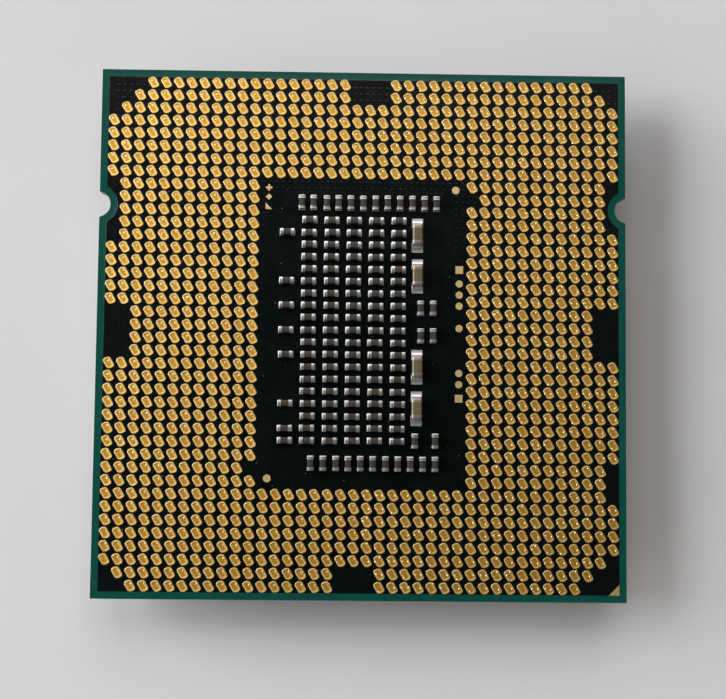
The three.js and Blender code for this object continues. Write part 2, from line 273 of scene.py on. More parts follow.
# %% Group: dust specks
def make_dust_group():
    """Cells at a scale per metre; a point within the size of a kept cell's centre is a speck.
    A cell is kept when its random value is above one minus the amount."""
    inputs = [("Scale", FLOAT, 1500.0), ("Size", FLOAT, 0.1), ("Amount", FLOAT, 0.1)]
    tree, given, out = new_group("dust_specks", inputs, [("Mask", FLOAT)])
    cells = node(tree, "ShaderNodeTexVoronoi", {
        "Vector": own_place(tree), "Scale": given.outputs["Scale"]})
    near = combine(tree, "LESS_THAN", cells.outputs["Distance"], given.outputs["Size"])
    random = node(tree, "ShaderNodeSeparateColor", {"Color": cells.outputs["Color"]})
    limit = combine(tree, "SUBTRACT", 1.0, given.outputs["Amount"])
    kept = combine(tree, "GREATER_THAN", random.outputs[0], limit)
    tree.links.new(combine(tree, "MULTIPLY", near, kept), out.inputs["Mask"])
    return tree


dust_group = make_dust_group()


# %% Group: fine scratches
def make_scratch_group():
    """Noise stretched along one direction of the plane, kept only where it peaks."""
    inputs = [("Scale", FLOAT, 900.0), ("Turn", VECTOR, (0, 0, 0)), ("Amount", FLOAT, 0.5)]
    tree, given, out = new_group("fine_scratches", inputs, [("Mask", FLOAT)])
    turned = node(tree, "ShaderNodeMapping", {
        "Vector": own_place(tree), "Rotation": given.outputs["Turn"], "Scale": (1.0, 0.03, 0.03)})
    noise = node(tree, "ShaderNodeTexNoise", {
        "Vector": turned.outputs["Vector"], "Scale": given.outputs["Scale"], "Detail": 3.0})
    peak = remap(tree, noise.outputs["Fac"], 0.58, 0.72, 0.0, given.outputs["Amount"])
    tree.links.new(peak, out.inputs["Mask"])
    return tree


scratch_group = make_scratch_group()


# %% Group: a normal from fine grain
def make_relief_group():
    """A bump of noise at a scale per metre, with its height in metres."""
    inputs = [("Scale", FLOAT, 20000.0), ("Height", FLOAT, 2e-6), ("Strength", FLOAT, 0.5)]
    tree, given, out = new_group("grain_relief", inputs, [("Normal", VECTOR)])
    noise = node(tree, "ShaderNodeTexNoise", {
        "Vector": own_place(tree), "Scale": given.outputs["Scale"], "Detail": 3.0})
    bump = node(tree, "ShaderNodeBump", {
        "Height": noise.outputs["Fac"], "Distance": given.outputs["Height"],
        "Strength": given.outputs["Strength"]})
    tree.links.new(bump.outputs["Normal"], out.inputs["Normal"])
    return tree


relief_group = make_relief_group()


# %% [markdown]
# ## A material builder
#
# Each material keeps its own Principled shader, with its constants on the shader's own sockets.
# What varies over the surface comes from the groups. The helper below only sets up the shader and
# offers the moves that recur: place a group, mix two colours by a mask, read an attribute. Many
# finishes need no more than two colours, a roughness and a relief, so one function makes those.


# %% Material helper
class Finish:
    """A material with a Principled shader and short ways to add what varies over it."""

    def __init__(self, name, **constants):
        self.material = bpy.data.materials.new(name)
        self.material.use_nodes = True
        self.tree = self.material.node_tree
        self.tree.nodes.clear()
        self.shader = node(self.tree, "ShaderNodeBsdfPrincipled")
        out = node(self.tree, "ShaderNodeOutputMaterial")
        self.tree.links.new(self.shader.outputs["BSDF"], out.inputs["Surface"])
        for key, value in constants.items():
            self.shader.inputs[key.replace("_", " ")].default_value = value

    def group(self, tree, **values):
        """The first output of a shared group, placed with its own values."""
        made = node(self.tree, "ShaderNodeGroup", node_tree=tree)
        for key, value in values.items():
            made.inputs[key].default_value = value
        return made.outputs[0]

    def grain(self, scale, low=0.0, high=1.0):
        """Cloudy grain at a scale per metre, from low to high."""
        return self.group(grain_group, Scale=scale, Low=low, High=high)

    def relief(self, scale, height, strength):
        """A normal from fine grain at a scale per metre, with its height in metres."""
        return self.group(relief_group, Scale=scale, Height=height, Strength=strength)

    def attribute(self, key):
        """A number that the mesh carries at its points."""
        return node(self.tree, "ShaderNodeAttribute", attribute_name=key).outputs["Fac"]

    def mix(self, mask, first, second):
        """The first colour where the mask is 0, the second where it is 1."""
        made = node(self.tree, "ShaderNodeMix", {0: mask, 6: first, 7: second}, data_type="RGBA")
        return made.outputs[2]

    def blend(self, mask, first, second):
        """The same for numbers."""
        return remap(self.tree, mask, 0.0, 1.0, first, second)

    def feed(self, **sources):
        """Links sources to the shader's sockets, such as Base_Color or Roughness."""
        for key, source in sources.items():
            self.tree.links.new(source, self.shader.inputs[key.replace("_", " ")])
        return self.material


def cloudy_finish(name, first, second, cloud, rough, relief=None, **constants):
    """A finish that drifts between two colours. `cloud` is the drift's scale, `rough` the scale
    and the ends of the roughness, and `relief` the scale, height and strength of the bump."""
    finish = Finish(name, **constants)
    sources = {
        "Base_Color": finish.mix(finish.grain(cloud), first, second),
        "Roughness": finish.grain(*rough)}
    if relief:
        sources["Normal"] = finish.relief(*relief)
    return finish.feed(**sources)


# %% [markdown]
# ## Gold
#
# The lands are copper with nickel and a thin layer of gold. Their middle field is a deep orange gold. The
# rim that stands round it is rougher and painted paler, a painted sheen for the room light it catches. No
# two lands are quite alike, so each carries a random tone as an attribute.


# %% Gold of the lands
def gold_of_lands():
    """The field in the land's own tone, reddest in its hollow, and a rim round it painted paler, a painted
    sheen.
    """
    gold = Finish("gold_land", Metallic=1.0)
    rim, tone = gold.attribute("land_rim"), gold.attribute("land_tone")
    field = gold.mix(tone, (0.91, 0.52, 0.11, 1), (1.0, 0.63, 0.15, 1))
    field = gold.mix(gold.grain(2600.0, high=0.55), field, (0.87, 0.58, 0.12, 1))
    field = gold.mix(gold.attribute("land_heart"), field, (0.88, 0.47, 0.08, 1))
    # painted sheen: the rim's paler gold stands in for the light it catches
    edge = gold.mix(tone, (0.94, 0.67, 0.25, 1), (1.0, 0.76, 0.32, 1))
    return gold.feed(
        Base_Color=gold.mix(rim, field, edge), Roughness=gold.blend(rim, 0.49, 0.53),
        Normal=gold.relief(16000.0, 3e-6, 0.35))


def gold_of_dents():
    """Paler gold than the lands, a painted highlight that helps the dents glint; in the west the gold is
    duller, a painted dimmer glint, and the finish rougher.
    """
    gold = Finish("gold_probe_dent", Metallic=1.0)
    light = gold.attribute("dent_in_west")
    # painted highlight: these pale golds stand in for the dents' glint
    colour = gold.mix(gold.grain(9000.0), (0.95, 0.68, 0.28, 1), (1.0, 0.80, 0.45, 1))
    # painted dimmer glint: a duller gold for the dents in the west
    colour = gold.mix(light, colour, (0.99, 0.70, 0.27, 1))
    return gold.feed(Base_Color=colour, Roughness=gold.blend(light, 0.22, 0.32))


land_gold = gold_of_lands()
dent_gold = gold_of_dents()
mark_gold = cloudy_finish(
    "gold_mark", (0.90, 0.64, 0.27, 1), (0.98, 0.76, 0.40, 1), 5000.0, (9000.0, 0.46, 0.56),
    (16000.0, 3e-6, 0.4), Metallic=1.0)
print("gold:", land_gold.name, mark_gold.name, dent_gold.name)

# %% [markdown]
# ## Solder mask and laminate
#
# Solder mask is a translucent green varnish. Over copper that is plated and filled it looks almost
# black, and over bare laminate at the rim it shows its teal green. So the mask's mesh carries an
# attribute that is 1 over copper and 0 over the rim, and the material mixes the two looks with it.


# %% Mask and board materials
def solder_mask():
    """Nearly black over copper and green over the rim, with a few pale specks of dust."""
    mask = Finish("solder_mask", IOR=1.5)
    cloud = mask.grain(350.0)
    dark = mask.mix(cloud, (0.0010, 0.0026, 0.0030, 1), (0.0018, 0.0042, 0.0046, 1))
    green = mask.mix(cloud, (0.0020, 0.062, 0.048, 1), (0.0035, 0.078, 0.060, 1))
    specks = mask.group(dust_group, Scale=2600.0, Size=0.11, Amount=0.10)
    colour = mask.mix(mask.attribute("over_copper"), green, dark)
    return mask.feed(
        Base_Color=mask.mix(specks, colour, (0.10, 0.115, 0.12, 1)),
        Roughness=mask.grain(1500.0, 0.17, 0.25), Normal=mask.relief(5000.0, 2e-6, 0.2))


def glass_epoxy():
    """Layers of glass cloth in resin: the height above the lid drives a wave of paler bands."""
    board = Finish("glass_epoxy_edge", IOR=1.55)
    cloth = node(board.tree, "ShaderNodeTexWave", {
        "Vector": own_place(board.tree), "Scale": 1300.0, "Distortion": 1.6,
        "Detail": 2.0, "Detail Scale": 2.0}, bands_direction="Z")
    colour = board.mix(cloth.outputs["Fac"], (0.16, 0.21, 0.09, 1), (0.30, 0.34, 0.17, 1))
    return board.feed(
        Base_Color=board.mix(board.grain(3500.0, high=0.5), colour, (0.11, 0.16, 0.07, 1)),
        Roughness=board.grain(6000.0, 0.55, 0.75), Normal=board.relief(12000.0, 1.2e-5, 0.6))


mask_finish = solder_mask()
core_finish = glass_epoxy()
resin_finish = cloudy_finish(
    "build_up_resin", (0.016, 0.090, 0.058, 1), (0.030, 0.125, 0.080, 1), 1800.0,
    (4000.0, 0.45, 0.62), (14000.0, 8e-6, 0.5), IOR=1.52)
covered_copper = cloudy_finish(
    "copper_under_varnish", (0.048, 0.024, 0.004, 1), (0.070, 0.036, 0.007, 1), 1500.0,
    (1500.0, 0.22, 0.32), IOR=1.5)

# %% Dark resins, silicone and silicon
DARK_CLOUD = 2500.0
DARK_RELIEF = 9000.0, 6e-6, 0.4
silicone_finish = cloudy_finish(
    "black_silicone", (0.010, 0.010, 0.011, 1), (0.022, 0.022, 0.024, 1), DARK_CLOUD,
    (4000.0, 0.45, 0.65), DARK_RELIEF)
underfill_finish = cloudy_finish(
    "dark_epoxy", (0.015, 0.015, 0.018, 1), (0.035, 0.034, 0.038, 1), DARK_CLOUD,
    (4000.0, 0.35, 0.50), DARK_RELIEF)
silicon_finish = cloudy_finish(
    "ground_silicon", (0.055, 0.058, 0.066, 1), (0.090, 0.094, 0.105, 1), DARK_CLOUD,
    (4000.0, 0.18, 0.28), DARK_RELIEF, Metallic=0.4)

# %% [markdown]
# ## Plated and soldered metal
#
# The lid is copper with dull nickel plating, and its surface keeps the fine lines of its tooling.
# The capacitor ends are tin. Solder is matte and pale where it lies flat on its pad, and smooth where it
# climbs, where it is painted darker, a painted shade where it turns up against the terminal.


# %% Metals
def nickel_plate():
    """Dull nickel, paler on the rounded edges, with fine lines one way and stray scratches."""
    nickel = Finish("nickel_plate", Metallic=1.0)
    colour = nickel.mix(nickel.grain(160.0), (0.56, 0.545, 0.51, 1), (0.66, 0.645, 0.61, 1))
    lines = nickel.group(scratch_group, Scale=5200.0, Turn=(0, 0, 0), Amount=1.0)
    stray = nickel.group(scratch_group, Scale=700.0, Turn=(0, 0, 0.9), Amount=0.8)
    scratched = combine(nickel.tree, "MAXIMUM", lines, stray)
    return nickel.feed(
        Base_Color=nickel.mix(nickel.attribute("rounded_edge"), colour, (0.74, 0.72, 0.68, 1)),
        Roughness=nickel.blend(scratched, 0.33, 0.50), Normal=nickel.relief(11000.0, 4e-6, 0.5))


def wetted_solder():
    """Pale and matte on the pad, and smoother as the solder climbs, where a darker colour is painted shade.
    """
    solder = Finish("wetted_solder", Metallic=1.0)
    slope = solder.attribute("solder_climb")
    flat = solder.mix(solder.grain(7000.0), (0.80, 0.80, 0.78, 1), (0.94, 0.94, 0.92, 1))
    # painted shade: the climbing solder darkens towards a grey of 0.42
    return solder.feed(
        Base_Color=solder.mix(slope, flat, (0.42, 0.42, 0.42, 1)),
        Roughness=solder.blend(slope, 0.46, 0.24), Normal=solder.relief(12000.0, 6e-6, 0.3))


nickel_finish = nickel_plate()
solder_finish = wetted_solder()
tin_finish = cloudy_finish(
    "tin_terminal", (0.74, 0.74, 0.71, 1), (0.95, 0.945, 0.92, 1), 7000.0,
    (9000.0, 0.30, 0.40), (12000.0, 6e-6, 0.4), Metallic=1.0)
matte_tin_finish = cloudy_finish(
    "matte_tin_terminal", (0.36, 0.31, 0.27, 1), (0.46, 0.40, 0.35, 1), 7000.0,
    (9000.0, 0.46, 0.58), (12000.0, 6e-6, 0.3), Metallic=1.0)

# %% [markdown]
# ## Capacitor ceramic
#
# Each small capacitor's body is fired ceramic, dark grey with an olive or a red-brown cast that
# changes from one to the next. The four large ones are a warmer tan. The tone comes from an
# attribute again, so one material serves every body of a kind.


# %% Ceramics
def ceramic(name, cool, warm, pit, rough_low, rough_high):
    """Fired ceramic between a cool and a warm tone, clouded towards the colour of its pits."""
    body = Finish(name, IOR=1.6)
    colour = body.mix(body.attribute("body_tone"), cool, warm)
    return body.feed(
        Base_Color=body.mix(body.grain(9000.0, high=0.7), colour, pit),
        Roughness=body.grain(5000.0, rough_low, rough_high), Normal=body.relief(14000.0, 6e-6, 0.3))


small_ceramic = ceramic(
    "grey_ceramic", (0.032, 0.032, 0.022, 1), (0.070, 0.036, 0.021, 1), (0.022, 0.021, 0.016, 1),
    0.38, 0.52)
large_ceramic = ceramic(
    "tan_ceramic", (0.160, 0.128, 0.074, 1), (0.192, 0.140, 0.076, 1), (0.122, 0.098, 0.058, 1),
    0.14, 0.22)


# %% [markdown]
# ## The board's five layers
#
# Each layer is a thin square plate with two round notches that key it to its socket. A ring of its
# outline set in by a distance is still straight sides and two arcs: the sides move in, and the
# notch's radius grows by the same distance about the same centre. That gives exact bevels, and the
# step where the copper under the mask ends, all from one function.


# %% Notched outline
NOTCH_RADIUS = 0.92
NOTCH_OUTSET = 0.15
NOTCH_Y = 9.0
NOTCH_STEPS = 33


def notch_arc(inset, side):
    """The notch's points on one side edge, from low to high on +X and back down on -X.
    The angle runs evenly between the two ends of the arc, seen from its centre outside the edge."""
    radius = NOTCH_RADIUS + inset
    sweep = math.acos((NOTCH_OUTSET + inset) / radius)
    angle = np.linspace(sweep, -sweep, NOTCH_STEPS)
    centre = PACKAGE_HALF + NOTCH_OUTSET
    x = side * (centre - radius * np.cos(angle))
    y = NOTCH_Y - side * radius * np.sin(angle)
    return np.column_stack([x, y])


def package_ring(inset, height):
    """The package's outline set in by a distance, at a height, anticlockwise from -X -Y."""
    half = PACKAGE_HALF - inset
    low_corners = [(-half, -half), (half, -half)]
    high_corners = [(half, half), (-half, half)]
    flat = np.concatenate([low_corners, notch_arc(inset, 1), high_corners, notch_arc(inset, -1)])
    return lifted(flat, height)


# %% Plain layers
EDGE = 0.012


def plain_layer(name, node_name, slot, finish, recess=0.0):
    """A layer between its CAD heights, with a small chamfer top and bottom."""
    low, high = rests_between(node_name)
    profile = [(recess + EDGE, low), (recess, low + EDGE), (recess, high - EDGE), (recess + EDGE, high)]
    points, faces = stacked([package_ring(inset, height) for inset, height in profile])
    return ride_as(mesh_object(name, points, faces, [finish]), slot, node_name)


plain_layer("core_board", "core_laminate", "glass_epoxy_core", core_finish, recess=0.01)
for side in ("land_side", "die_side"):
    plain_layer(f"{side}_buildup", f"buildup_{side}", "green_laminate", resin_finish)

# %% [markdown]
# ## The two solder masks
#
# On both faces the copper stops half a millimetre short of the edge, so the varnish steps down
# there by twelve micrometres and shows green. The rings run from the underside out to the edge, up,
# in across the rim, up the step, and the last one closes with the dark field.

# %% Masks with a green rim
RIM = 0.5
COPPER_STEP = 0.012
MASK_EDGE = 0.004
STEP_RUN = 0.03


def solder_mask_piece(side, outer, inner):
    """A mask plate; `outer` is the height of its free face, and `inner` of its bonded one.
    Each ring has an inset, a height, and whether copper lies under it."""
    out = 1 if outer > inner else -1
    rim = outer - out * COPPER_STEP
    profile = [
        (0.0, inner, 0), (0.0, rim - out * MASK_EDGE, 0), (MASK_EDGE, rim, 0), (RIM, rim, 0),
        (RIM + MASK_EDGE, rim + out * SUNK, 1), (RIM + STEP_RUN, outer, 1),
        (RIM + 2 * STEP_RUN, outer, 1)]
    rings = [package_ring(inset, height) for inset, height, _ in profile]
    flags = np.repeat([flag for _, _, flag in profile], len(rings[0]))
    if out < 0:
        rings.reverse()
        flags = flags[::-1]
    points, faces = stacked(rings)
    piece = mesh_object(
        f"{side}_mask", points, faces, [mask_finish], attributes={"over_copper": flags})
    return ride_as(piece, "dark_solder_mask", f"solder_mask_{side}")


solder_mask_piece("land_side", *reversed(rests_between("solder_mask_land_side")))
solder_mask_piece("die_side", *rests_between("solder_mask_die_side"))

# %% [markdown]
# ## 1156 lands
#
# The lands sit on a 40 by 40 grid, thirty-six thousandths of an inch apart, and some sites stay
# open: the window, a key in each edge, the corners and the notches. One small template, stamped at
# every site by a single array sum, makes them all. Its outline is the polygon whose six sides face
# given directions at given distances, which is a rectangle turned 30 degrees with two corners cut.

# %% Land sites
PITCH = 0.9144
GRID = 40
OPEN_SITES = [
    (9, 32, 13, 28), (10, 10, 28, 29), (31, 31, 12, 13),
    (9, 13, 1, 1), (9, 12, 40, 40),
    (19, 22, 1, 2), (19, 22, 39, 40), (1, 2, 20, 22), (39, 40, 19, 21), (31, 33, 40, 40),
    (1, 1, 1, 3), (1, 2, 1, 2), (1, 3, 1, 1),
    (1, 1, 39, 40), (1, 2, 40, 40),
    (38, 40, 40, 40), (39, 40, 39, 40), (40, 40, 38, 40),
    (39, 40, 1, 1), (40, 40, 1, 2),
]


def site_grid():
    """True at each site of the grid, row by row from +Y, where a land is. An open block is given
    by its first and last row and its first and last column, counted from 1."""
    filled = np.ones((GRID, GRID), bool)
    for first_row, last_row, first_column, last_column in OPEN_SITES:
        filled[first_row - 1:last_row, first_column - 1:last_column] = False
    return filled


def grid_places(chosen, pitch):
    """x, y of every true cell of a square grid: the pitch times the distance from its middle."""
    rows, columns = np.nonzero(chosen)
    middle = (len(chosen) - 1) / 2
    return np.column_stack([(columns - middle) * pitch, (middle - rows) * pitch])


filled_sites = site_grid()
land_places = grid_places(filled_sites, PITCH)
print(len(land_places), "lands")


# %% Land template
def half_planes(angles, distances):
    """Corners of the polygon whose sides face these angles at these distances from the middle.
    Each corner solves its two sides' equations, x cos a + y sin a = distance."""
    a = np.radians(angles)
    b = np.roll(a, -1)
    d = np.asarray(distances, float)
    e = np.roll(d, -1)
    cross = np.sin(b - a)
    x = (d * np.sin(b) - e * np.sin(a)) / cross
    y = (e * np.cos(a) - d * np.cos(b)) / cross
    return np.column_stack([x, y])


LAND_FACINGS = (30, 90, 120, 210, 270, 300)
LAND_REACHES = (0.270, 0.390, 0.408, 0.270, 0.390, 0.408)
LAND_RADIUS = 0.13
LAND_STEPS = 3


def land_outline(steps):
    """The outline of a land and its normals, with so many points on each corner's arc."""
    return filleted(half_planes(LAND_FACINGS, LAND_REACHES), LAND_RADIUS, steps)


FIELD_DROP = 0.006
LAND_PROFILE = [  # inset, height, how much it is rim, how much it is the hollow middle
    (0.0, LAND_FACE, 1.0, 0.0),
    (0.0, LAND_TOP - 0.008, 1.0, 0.0),
    (0.018, LAND_TOP, 1.0, 0.0),
    (0.070, LAND_TOP, 0.9, 0.0),
    (0.095, LAND_TOP - FIELD_DROP, 0.0, 0.0),
    (0.200, LAND_TOP - 1.5 * FIELD_DROP, 0.0, 1.0)]
LAND_INSETS, LAND_HEIGHTS, RIM_OF_RING, HEART_OF_RING = zip(*LAND_PROFILE)
land_template = stacked(terrace(land_outline(LAND_STEPS), zip(LAND_INSETS, LAND_HEIGHTS)))

# %% Four fields of lands
rng = np.random.default_rng(1156)
land_tones = rng.random(len(land_places))


def land_field(name, chosen):
    """The chosen lands as one piece; its points carry the land's tone, the rim and the hollow."""
    points, faces = stamp(land_template, lifted(land_places[chosen], 0.0))
    tone = np.repeat(land_tones[chosen], len(land_template[0]))
    around = len(land_template[0]) // len(LAND_PROFILE)
    rim, heart = (np.tile(np.repeat(flags, around), chosen.sum())
                  for flags in (RIM_OF_RING, HEART_OF_RING))
    attributes = {"land_tone": tone, "land_rim": rim, "land_heart": heart}
    piece = mesh_object(name, points, faces, [land_gold], 12.0, attributes)
    return ride_as(piece, "gold_plate", "contact_lands")


east, north = land_places[:, 0] > 0, land_places[:, 1] > 0
land_field("lands_north_west", north & ~east)
land_field("lands_north_east", north & east)
land_field("lands_south_west", ~north & ~east)
land_field("lands_south_east", ~north & east)

# %% [markdown]
# ## Covered margins
#
# The copper under each land is a little larger than the gold that shows, and the varnish covers
# its margin. Seen through the varnish it is a dark golden brown, which warms the narrow gaps
# between the lands. One thin plate a site, with the land's own outline set out, shows it.

# %% Margins of the lands
MARGIN = 0.06
MARGIN_RISE = 0.003
MARGIN_BEVEL = 0.01
MARGIN_STEPS = 2


def covered_margins():
    """The land's outline set out by the margin, as a thin plate at every site."""
    profile = [(-MARGIN, LAND_FACE - SUNK), (MARGIN_BEVEL - MARGIN, LAND_FACE + MARGIN_RISE)]
    points, faces = stamp(
        stacked(terrace(land_outline(MARGIN_STEPS), profile)), lifted(land_places, 0.0))
    piece = mesh_object("covered_margins", points, faces, [covered_copper])
    return ride_as(piece, "dark_solder_mask")


covered_margins()

# %% [markdown]
# ## Probe dents
#
# Before it was sold, the processor was tested on sprung probes, and each probe left a tiny dent
# with a raised lip. They sit in a slightly different place over each part of the field, where the
# probe card was out of line, and they are what glints. A dent is a tiny crater: its lip rises from
# the land, turns over in a round crest and falls to the floor, so that some part of it always
# faces the light.

# %% Dent template and places
DENT_SIDES = 8
DENT_PROFILE = [(0.094, -0.001), (0.079, 0.012), (0.061, 0.017), (0.042, 0.011), (0.025, 0.000)]
DENT_JITTER = 0.03
WEST_DENT, WEST_DRIFT = (0.03, 0.13), -0.0065
EAST_DENTS = np.array([(0.23, -0.04), (-0.03, -0.27), (0.06, 0.25)])
EAST_SHARES = 0.6, 0.2, 0.2
SECOND_DENT = -0.19, 0.0
FIRST_SHARE = 0.9
SECOND_SHARE, FEWER_BELOW, FEWER_SHARE = 0.7, -6.0, 0.25
EAST_PRESSURE, WEST_PRESSURE = 1.1, 0.7


def circle(sides):
    """Evenly spaced points of a circle of radius 1."""
    angle = np.linspace(0, 2 * np.pi, sides, endpoint=False)
    return np.column_stack([np.cos(angle), np.sin(angle)])


def dent_template():
    """Circles of the profile's radii at its heights above the land's field, closed at both ends."""
    around = circle(DENT_SIDES)
    return stacked([lifted(radius * around, height) for radius, height in DENT_PROFILE])


def dent_places():
    """Where the probes touched: one dent above the middle of each land in the west, drifting to
    the right as y falls. In the east it is at the right of the land, or now and then at its foot
    or its head, and many lands there have a second one at the left."""
    x, y = land_places.T
    east = x > 0
    first = np.column_stack([WEST_DENT[0] + WEST_DRIFT * y, np.full(len(x), WEST_DENT[1])])
    choice = rng.choice(3, len(x), p=EAST_SHARES)
    first[east] = EAST_DENTS[choice[east]]
    drift = rng.normal(0, DENT_JITTER, (2, len(x), 2))
    has_first = rng.random(len(x)) < FIRST_SHARE
    has_second = east & (rng.random(len(x)) < np.where(y > FEWER_BELOW, SECOND_SHARE, FEWER_SHARE))
    spots = [(land_places + first + drift[0])[has_first],
             (land_places + SECOND_DENT + drift[1])[has_second]]
    return lifted(np.concatenate(spots), 0.0)


def probe_dents():
    """A dent at every place, taller in the east, where the probes pressed harder."""
    places = dent_places()
    points, faces = stamp(dent_template(), places)
    east = np.repeat(places[:, 0] > 0, len(points) // len(places))
    base = LAND_TOP - FIELD_DROP
    points[:, 2] = base + points[:, 2] * np.where(east, EAST_PRESSURE, WEST_PRESSURE)
    # the west flag picks the duller gold, a painted dimmer glint, and the rougher finish
    piece = mesh_object("probe_dents", points, faces, [dent_gold], 60.0, {"dent_in_west": ~east})
    return ride_as(piece, "gold_plate")


probe_dents()

# %% [markdown]
# ## Small and large capacitors
#
# A chip capacitor is a ceramic block with a cap of tin on each end. Its cross-section is a rounded
# rectangle, carried along its length: set in at the very end to round it off, full over the tin,
# and slightly set in over the bare ceramic. The quads between those rings know which material they
# belong to by their ring number alone.


# %% Capacitor template
CERAMIC, TIN, SOLDER = 0, 1, 2


def capacitor_body(length, width, height, band, step, radius, dip, arc):
    """Points, faces and a material number per face of one capacitor lying along X.
    Ring positions are distances from the near end; the far half mirrors the near one. Between its
    end and the bare ceramic the tin sinks by the dip, because it is thickest along its edges.
    The arc is the number of points on each rounded edge."""
    near = [(0.0, radius), (0.3 * radius, 0.3 * radius), (radius, 0.0), (1.5 * radius, 0.0),
            (0.6 * band, dip), (band - 0.5 * step, 0.0), (band, step)]
    outline, normals = rectangle(width, height, radius, arc)
    side = [(-length / 2 + along, inset) for along, inset in near]
    stations = side + [(-along, inset) for along, inset in reversed(side)]
    rings = []
    for along, inset in stations:
        flat = outline - inset * normals
        rings.append(np.column_stack([np.full(len(flat), along), flat[:, 0], flat[:, 1]]))
    points, faces = stacked(rings)
    points[:, 2] += height / 2
    band_of_quad = np.repeat(np.arange(len(rings) - 1), len(outline))
    kinds = np.where(band_of_quad == len(near) - 1, CERAMIC, TIN)
    return points, faces, np.concatenate([kinds, [TIN, TIN]])


WAYS = np.array([0.0, 0.0, 0.06, 0.35, 0.6, 0.78, 0.91, 1.0])
SOLDER_ROUND, SOLDER_RISE = 0.03, 0.06
CLIMB_POWER, CLIMB_LOOK_POWER = 8, 4


def solder_fillet(pad, pad_width, grip, grip_width, climb, arc):
    """One solder joint along X: a rounded pad outline that closes in on the terminal as it climbs.
    The outline moves evenly from pad to terminal while the height grows as a power of the way, so
    the solder lies flat on the pad and turns up steeply where it wets the terminal."""
    rings = []
    for way in WAYS:
        start, end = (low + (high - low) * way for low, high in zip(pad, grip))
        width = pad_width + (grip_width - pad_width) * way
        outline, _ = rectangle(end - start, width, SOLDER_ROUND, arc)
        flat = min(SOLDER_ROUND + way, SOLDER_RISE)
        height = flat + climb * way ** CLIMB_POWER if rings else 0.0
        rings.append(lifted(outline + ((start + end) / 2, 0.0), height))
    return stacked(rings)


# %% [markdown]
# A whole capacitor is its body and two solder joints. They become one template of points with a
# material number for each face: ceramic, tin or solder. Turning a template a quarter turn swaps
# x and y and flips one sign, which keeps every face the right way out.

# %% Whole capacitors
SMALL = dict(length=1.0, width=0.44, height=0.5, band=0.24, step=0.016, radius=0.035, dip=0.012, arc=3)
LARGE = dict(length=1.54, width=0.76, height=0.85, band=0.34, step=0.016, radius=0.15, dip=0.004, arc=7)
SMALL_JOINT = dict(pad=(0.26, 0.535), pad_width=0.46, grip=(0.28, 0.495), grip_width=0.42, climb=0.16)
LARGE_JOINT = dict(pad=(0.50, 1.22), pad_width=0.79, grip=(0.52, 0.77), grip_width=0.70, climb=0.40)
CAD_CHIP_WIDTH = 0.5
PLACING_SPREAD = 0.012
TONE_POWER = 2.5


def whole_capacitor(body, joint):
    """One template from a body and two solder joints: points, faces, a material number for each
    face, and how far each point is up the climb of the solder."""
    points, faces, kinds = capacitor_body(**body)
    solder, solder_faces = solder_fillet(**joint, arc=body["arc"])
    solids = [(points, faces), (solder, solder_faces), (solder * (-1, -1, 1), solder_faces)]
    starts = np.cumsum([0, len(points), len(solder)])
    faces = [np.concatenate([solid[1][i] + start for solid, start in zip(solids, starts)])
             for i in (0, 1)]
    soldered = np.full(2 * len(solder_faces[0]), SOLDER), np.full(4, SOLDER)
    kinds = np.concatenate([kinds[:-2], soldered[0]]), np.concatenate([kinds[-2:], soldered[1]])
    climb = np.repeat(WAYS ** CLIMB_LOOK_POWER, len(solder) // len(WAYS))
    climbs = np.concatenate([np.zeros(len(points)), climb, climb])
    return np.concatenate([solid[0] for solid in solids]), faces, kinds, climbs


def capacitor_piece(node_name, places, along, body, joint, finishes, slot):
    """Stamps one kind of capacitor at its places and replaces the CAD node that stood for them.
    Each is placed a little off, and few are warm, because the random tone is raised to a power."""
    points, faces, kinds, climbs = whole_capacitor(body, joint)
    if along == "y":
        points = np.column_stack([-points[:, 1], points[:, 0], points[:, 2]])
    shift = rng.normal(0, PLACING_SPREAD, (len(places), 2))
    spots = lifted(np.asarray(places) + shift, LAND_FACE)
    tone = np.repeat(rng.random(len(places)) ** TONE_POWER, len(points))
    all_points, all_faces = stamp((points, faces), spots)
    attributes = {"body_tone": tone, "solder_climb": np.tile(climbs, len(places))}
    name = node_name.replace("capacitor", "chip_capacitor")
    piece = mesh_object(name, all_points, all_faces, finishes, 32.0, attributes)
    numbers = np.concatenate([np.tile(part, len(places)) for part in kinds])
    piece.data.polygons.foreach_set("material_index", numbers.astype(np.int32))
    return ride_as(piece, slot, node_name)


# %% [markdown]
# The CAD node of a run is one block from its first capacitor to its last, so the places come from
# its box and the number in the run. A single capacitor's node gives its centre, and the longer
# side of its box says which way it lies.

# %% Place every capacitor
RUNS = {f"capacitor_column_{i}": 19 for i in range(1, 6)}
RUNS.update(capacitor_row_top=12, capacitor_row_bottom=11)


def run_places(node_name, count):
    """Centres along a run, evenly spaced between its two end capacitors, and their direction."""
    low, high = span(node_name)
    middle = (low + high) / 2
    half = CAD_CHIP_WIDTH / 2
    if high[1] - low[1] > high[0] - low[0]:
        steps = np.linspace(high[1] - half, low[1] + half, count)
        return np.column_stack([np.full(count, middle[0]), steps]), "x"
    steps = np.linspace(low[0] + half, high[0] - half, count)
    return np.column_stack([steps, np.full(count, middle[1])]), "y"


def single_place(node_name):
    """A lone capacitor's centre and the direction of its longer side."""
    low, high = span(node_name)
    along = "x" if high[0] - low[0] > high[1] - low[1] else "y"
    return [((low + high) / 2)[:2]], along


SMALL_KIND = SMALL, SMALL_JOINT, (small_ceramic, tin_finish, solder_finish), "grey_ceramic"
LARGE_KIND = LARGE, LARGE_JOINT, (large_ceramic, matte_tin_finish, solder_finish), "tan_ceramic"

